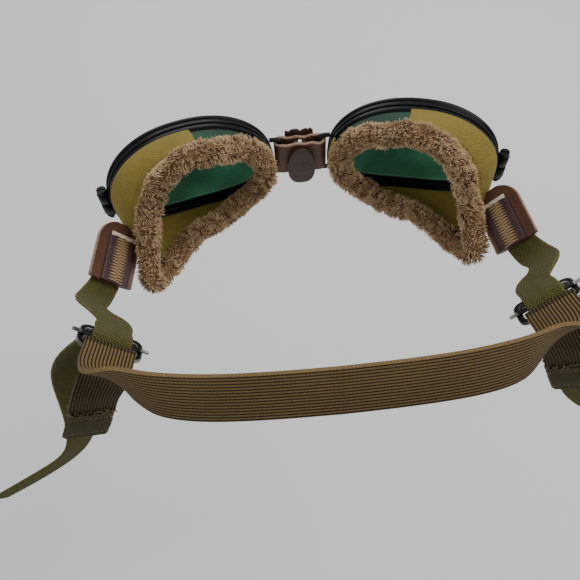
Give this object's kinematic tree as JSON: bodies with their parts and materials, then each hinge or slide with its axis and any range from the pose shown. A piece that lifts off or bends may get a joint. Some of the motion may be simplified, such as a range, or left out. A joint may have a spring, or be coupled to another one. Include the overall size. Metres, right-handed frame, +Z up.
{
  "type": "strapped eyecup goggles",
  "caption": "Two-eyecup goggles: curved green lenses in split metal eyewires, canvas cups edged with pile, leather bridge, and an elastic head band with slide buckles.",
  "frame": {"origin": "middle of the leather bridge, between the two fold bars", "axes": "+X to the wearer's left, +Y towards the back of the head, +Z up"},
  "size_m": [0.2752, 0.1443, 0.1092],
  "materials": {
    "black_paint": "semi-gloss black enamel",
    "green_lens": "polished dark green",
    "olive_canvas": "plain woven cotton duck",
    "brown_pile": "short curled pile",
    "brown_leather": "worn smooth brown leather",
    "dark_leather": "dark brown leather",
    "olive_webbing": "cotton webbing",
    "brown_elastic": "ribbed woven elastic",
    "stop_webbing": "frayed brown webbing",
    "buckle_steel": "black japanned steel, worn at the edges",
    "clip_steel": "bright steel"
  },
  "bodies": {
    "harness": {"bridge_strap": "brown_leather", "bridge_clip": "clip_steel", "bridge_ridge": "dark_leather", "nose_guard": "dark_leather", "head_band": "brown_elastic", "left_strap_run": "olive_webbing", "right_strap_run": "olive_webbing"},
    "left_eyepiece": {"left_eyewire": "black_paint", "left_lens": "green_lens", "left_cup_ring": "black_paint", "left_closing_nut": "black_paint", "left_canvas_cup": "olive_canvas", "left_pile_edging": "brown_pile", "left_tab_leaf": "brown_leather", "left_tab_strip": "dark_leather", "left_strap_front": "olive_webbing"},
    "left_screw": {"left_closing_screw": "black_paint"},
    "left_buckle": {"left_buckle_frame": "buckle_steel", "left_buckle_bar": "buckle_steel", "left_webbing_tail": "olive_webbing", "left_elastic_tail": "brown_elastic", "left_elastic_stop": "stop_webbing"},
    "right_eyepiece": {"right_eyewire": "black_paint", "right_lens": "green_lens", "right_cup_ring": "black_paint", "right_closing_nut": "black_paint", "right_canvas_cup": "olive_canvas", "right_pile_edging": "brown_pile", "right_tab_leaf": "brown_leather", "right_tab_strip": "dark_leather", "right_strap_front": "olive_webbing"},
    "right_screw": {"right_closing_screw": "black_paint"},
    "right_buckle": {"right_buckle_frame": "buckle_steel", "right_buckle_bar": "buckle_steel", "right_webbing_tail": "olive_webbing", "right_elastic_tail": "brown_elastic", "right_elastic_stop": "stop_webbing"}
  },
  "joints": [
    {"name": "left_fold", "type": "hinge", "parent": "harness", "child": "left_eyepiece", "pos_m": [0.0084, -0.0015, 0], "axis": [0, 0, 1], "range_deg": [-6, 40]},
    {"name": "left_screw_turn", "type": "hinge", "parent": "left_eyepiece", "child": "left_screw", "pos_m": [0.08667, 0.01695, 0], "axis": [0, 0, 1], "continuous": true},
    {"name": "left_buckle_slide", "type": "slide", "parent": "harness", "child": "left_buckle", "axis": [-0.1189, 0.8373, 0.5336], "range_m": [-0.008, 0.004]},
    {"name": "right_fold", "type": "hinge", "parent": "harness", "child": "right_eyepiece", "pos_m": [-0.0084, -0.0015, 0], "axis": [0, 0, -1], "range_deg": [-6, 40]},
    {"name": "right_screw_turn", "type": "hinge", "parent": "right_eyepiece", "child": "right_screw", "pos_m": [-0.08667, 0.01695, 0], "axis": [0, 0, 1], "continuous": true},
    {"name": "right_buckle_slide", "type": "slide", "parent": "harness", "child": "right_buckle", "axis": [0.1189, 0.8373, 0.5336], "range_m": [-0.008, 0.004]}
  ]
}
